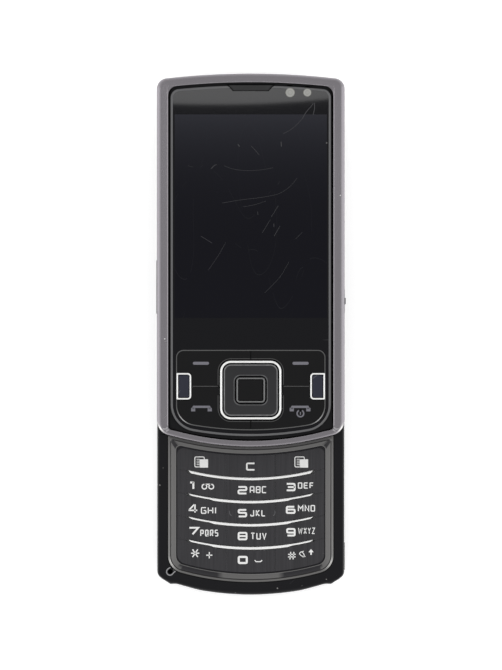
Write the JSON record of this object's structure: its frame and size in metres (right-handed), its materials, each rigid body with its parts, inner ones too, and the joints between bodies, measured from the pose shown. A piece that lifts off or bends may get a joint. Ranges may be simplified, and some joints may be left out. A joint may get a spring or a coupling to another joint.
{
  "type": "slide phone",
  "caption": "Black slide phone, open: silver-framed display half with key deck runs on rails over a curved keypad half; keys press, rocker tips, battery cover slides off.",
  "frame": {"origin": "centre of the lower body's flat back face, phone lying on its back", "axes": "+X to the phone's right, +Y to its head, along which it slides open, +Z out of its face"},
  "size_m": [0.0545, 0.1494, 0.0172],
  "materials": {
    "gloss_black": "high gloss black moulding",
    "satin_black": "fine satin black",
    "silver_frame": "smoked silver, satin, bevelled",
    "bezel_silver": "grey silver, satin",
    "bright_metal": "bright polished trim",
    "brushed_plate": "dark anodised, brushed along the phone",
    "window_glass": "clear hard-coated window, printed black behind",
    "display_black": "dark display, switched off",
    "key_black": "gloss black key",
    "nav_grey": "dark grey satin",
    "tab_blue": "blue-black satin gloss",
    "lens_grey": "light grey lens",
    "clear_window": "dark polished window",
    "board_green": "solder mask",
    "silicone": "translucent grey silicone",
    "steel": "rolled steel",
    "spring_steel": "drawn wire",
    "battery_grey": "grey wrapped cell",
    "flex_amber": "amber polyimide film"
  },
  "bodies": {
    "lower_body": {"rear_housing": "gloss_black", "front_housing": "gloss_black", "loudspeaker": "satin_black", "camera_module": "satin_black", "keypad_bezel": "bezel_silver", "row_bar_1": "bright_metal", "row_bar_2": "bright_metal", "row_bar_3": "bright_metal", "row_bar_4": "bright_metal", "camera_window": "clear_window", "main_board": "board_green", "keypad_mat": "silicone", "slide_base_plate": "steel", "usb_socket": "steel", "assist_spring": "spring_steel", "battery": "battery_grey", "flex_cable": "flex_amber"},
    "slider": {"slider_back_cover": "satin_black", "slider_frame": "silver_frame", "slider_chassis": "satin_black", "front_window": "window_glass", "display_module": "display_black", "earpiece": "satin_black", "front_camera": "lens_grey", "light_sensor": "lens_grey", "side_key_frame_left": "bright_metal", "side_key_frame_right": "bright_metal", "nav_frame": "bright_metal", "select_frame": "bezel_silver", "function_board": "board_green", "slide_carriage": "steel"},
    "key_shortcut_left_body": {"key_shortcut_left": "brushed_plate"},
    "key_clear_body": {"key_clear": "brushed_plate"},
    "key_shortcut_right_body": {"key_shortcut_right": "brushed_plate"},
    "key_1_body": {"key_1": "brushed_plate"},
    "key_2_body": {"key_2": "brushed_plate"},
    "key_3_body": {"key_3": "brushed_plate"},
    "key_4_body": {"key_4": "brushed_plate"},
    "key_5_body": {"key_5": "brushed_plate"},
    "key_6_body": {"key_6": "brushed_plate"},
    "key_7_body": {"key_7": "brushed_plate"},
    "key_8_body": {"key_8": "brushed_plate"},
    "key_9_body": {"key_9": "brushed_plate"},
    "key_star_body": {"key_star": "brushed_plate"},
    "key_0_body": {"key_0": "brushed_plate"},
    "key_hash_body": {"key_hash": "brushed_plate"},
    "soft_key_left_body": {"soft_key_left": "key_black"},
    "soft_key_right_body": {"soft_key_right": "key_black"},
    "call_key_body": {"call_key": "key_black"},
    "end_key_body": {"end_key": "key_black"},
    "side_key_left_body": {"side_key_left": "tab_blue"},
    "side_key_right_body": {"side_key_right": "tab_blue"},
    "select_key_body": {"select_key": "key_black"},
    "nav_collar_body": {"nav_collar": "silicone"},
    "nav_ring_body": {"nav_ring": "nav_grey"},
    "volume_rocker_body": {"volume_rocker": "gloss_black"},
    "camera_key_body": {"camera_key": "gloss_black"},
    "hold_switch_body": {"hold_switch": "gloss_black"},
    "port_flap_body": {"port_flap": "satin_black"},
    "battery_cover_body": {"battery_cover": "gloss_black"}
  },
  "joints": [
    {"name": "slide", "type": "slide", "parent": "lower_body", "child": "slider", "axis": [0, 1, 0], "range_m": [-0.0424, 0]},
    {"name": "press_key_shortcut_left", "type": "slide", "parent": "lower_body", "child": "key_shortcut_left_body", "axis": [0, 0, -1], "range_m": [0, 0.00025], "stiffness_N_per_m": 400},
    {"name": "press_key_clear", "type": "slide", "parent": "lower_body", "child": "key_clear_body", "axis": [0, 0, -1], "range_m": [0, 0.00025], "stiffness_N_per_m": 400},
    {"name": "press_key_shortcut_right", "type": "slide", "parent": "lower_body", "child": "key_shortcut_right_body", "axis": [0, 0, -1], "range_m": [0, 0.00025], "stiffness_N_per_m": 400},
    {"name": "press_key_1", "type": "slide", "parent": "lower_body", "child": "key_1_body", "axis": [0, 0, -1], "range_m": [0, 0.00025], "stiffness_N_per_m": 400},
    {"name": "press_key_2", "type": "slide", "parent": "lower_body", "child": "key_2_body", "axis": [0, 0, -1], "range_m": [0, 0.00025], "stiffness_N_per_m": 400},
    {"name": "press_key_3", "type": "slide", "parent": "lower_body", "child": "key_3_body", "axis": [0, 0, -1], "range_m": [0, 0.00025], "stiffness_N_per_m": 400},
    {"name": "press_key_4", "type": "slide", "parent": "lower_body", "child": "key_4_body", "axis": [0, 0, -1], "range_m": [0, 0.00025], "stiffness_N_per_m": 400},
    {"name": "press_key_5", "type": "slide", "parent": "lower_body", "child": "key_5_body", "axis": [0, 0, -1], "range_m": [0, 0.00025], "stiffness_N_per_m": 400},
    {"name": "press_key_6", "type": "slide", "parent": "lower_body", "child": "key_6_body", "axis": [0, 0, -1], "range_m": [0, 0.00025], "stiffness_N_per_m": 400},
    {"name": "press_key_7", "type": "slide", "parent": "lower_body", "child": "key_7_body", "axis": [0, 0, -1], "range_m": [0, 0.00025], "stiffness_N_per_m": 400},
    {"name": "press_key_8", "type": "slide", "parent": "lower_body", "child": "key_8_body", "axis": [0, 0, -1], "range_m": [0, 0.00025], "stiffness_N_per_m": 400},
    {"name": "press_key_9", "type": "slide", "parent": "lower_body", "child": "key_9_body", "axis": [0, 0, -1], "range_m": [0, 0.00025], "stiffness_N_per_m": 400},
    {"name": "press_key_star", "type": "slide", "parent": "lower_body", "child": "key_star_body", "axis": [0, 0, -1], "range_m": [0, 0.00025], "stiffness_N_per_m": 400},
    {"name": "press_key_0", "type": "slide", "parent": "lower_body", "child": "key_0_body", "axis": [0, 0, -1], "range_m": [0, 0.00025], "stiffness_N_per_m": 400},
    {"name": "press_key_hash", "type": "slide", "parent": "lower_body", "child": "key_hash_body", "axis": [0, 0, -1], "range_m": [0, 0.00025], "stiffness_N_per_m": 400},
    {"name": "press_soft_key_left", "type": "slide", "parent": "slider", "child": "soft_key_left_body", "axis": [0, 0, -1], "range_m": [0, 0.00025], "stiffness_N_per_m": 400},
    {"name": "press_soft_key_right", "type": "slide", "parent": "slider", "child": "soft_key_right_body", "axis": [0, 0, -1], "range_m": [0, 0.00025], "stiffness_N_per_m": 400},
    {"name": "press_call_key", "type": "slide", "parent": "slider", "child": "call_key_body", "axis": [0, 0, -1], "range_m": [0, 0.00025], "stiffness_N_per_m": 400},
    {"name": "press_end_key", "type": "slide", "parent": "slider", "child": "end_key_body", "axis": [0, 0, -1], "range_m": [0, 0.00025], "stiffness_N_per_m": 400},
    {"name": "press_side_key_left", "type": "slide", "parent": "slider", "child": "side_key_left_body", "axis": [0, 0, -1], "range_m": [0, 0.00025], "stiffness_N_per_m": 400},
    {"name": "press_side_key_right", "type": "slide", "parent": "slider", "child": "side_key_right_body", "axis": [0, 0, -1], "range_m": [0, 0.00025], "stiffness_N_per_m": 400},
    {"name": "press_select_key", "type": "slide", "parent": "slider", "child": "select_key_body", "axis": [0, 0, -1], "range_m": [0, 0.00025], "stiffness_N_per_m": 400},
    {"name": "nav_tilt_up_down", "type": "hinge", "parent": "slider", "child": "nav_collar_body", "pos_m": [0, 0.005, 0.01575], "axis": [1, 0, 0], "range_deg": [-1.5, 1.5], "stiffness_Nm_per_rad": 0.03},
    {"name": "nav_tilt_left_right", "type": "hinge", "parent": "nav_collar_body", "child": "nav_ring_body", "pos_m": [0, 0.005, 0.01575], "axis": [0, 1, 0], "range_deg": [-1.5, 1.5], "stiffness_Nm_per_rad": 0.03},
    {"name": "volume_rock", "type": "hinge", "parent": "lower_body", "child": "volume_rocker_body", "pos_m": [-0.02695, 0.03465, 0.004], "axis": [0, 0, 1], "range_deg": [-1.5, 1.5], "stiffness_Nm_per_rad": 0.05},
    {"name": "press_camera_key", "type": "slide", "parent": "lower_body", "child": "camera_key_body", "axis": [-1, 0, 0], "range_m": [0, 0.0003], "stiffness_N_per_m": 400},
    {"name": "hold_slide", "type": "slide", "parent": "lower_body", "child": "hold_switch_body", "axis": [0, 1, 0], "range_m": [0, 0.0015]},
    {"name": "port_flap_hinge", "type": "hinge", "parent": "lower_body", "child": "port_flap_body", "pos_m": [-0.02695, 0.01, 0.004], "axis": [0, 0, 1], "range_deg": [0, 95]},
    {"name": "cover_slide", "type": "slide", "parent": "lower_body", "child": "battery_cover_body", "axis": [0, -1, 0], "range_m": [0, 0.008]}
  ]
}
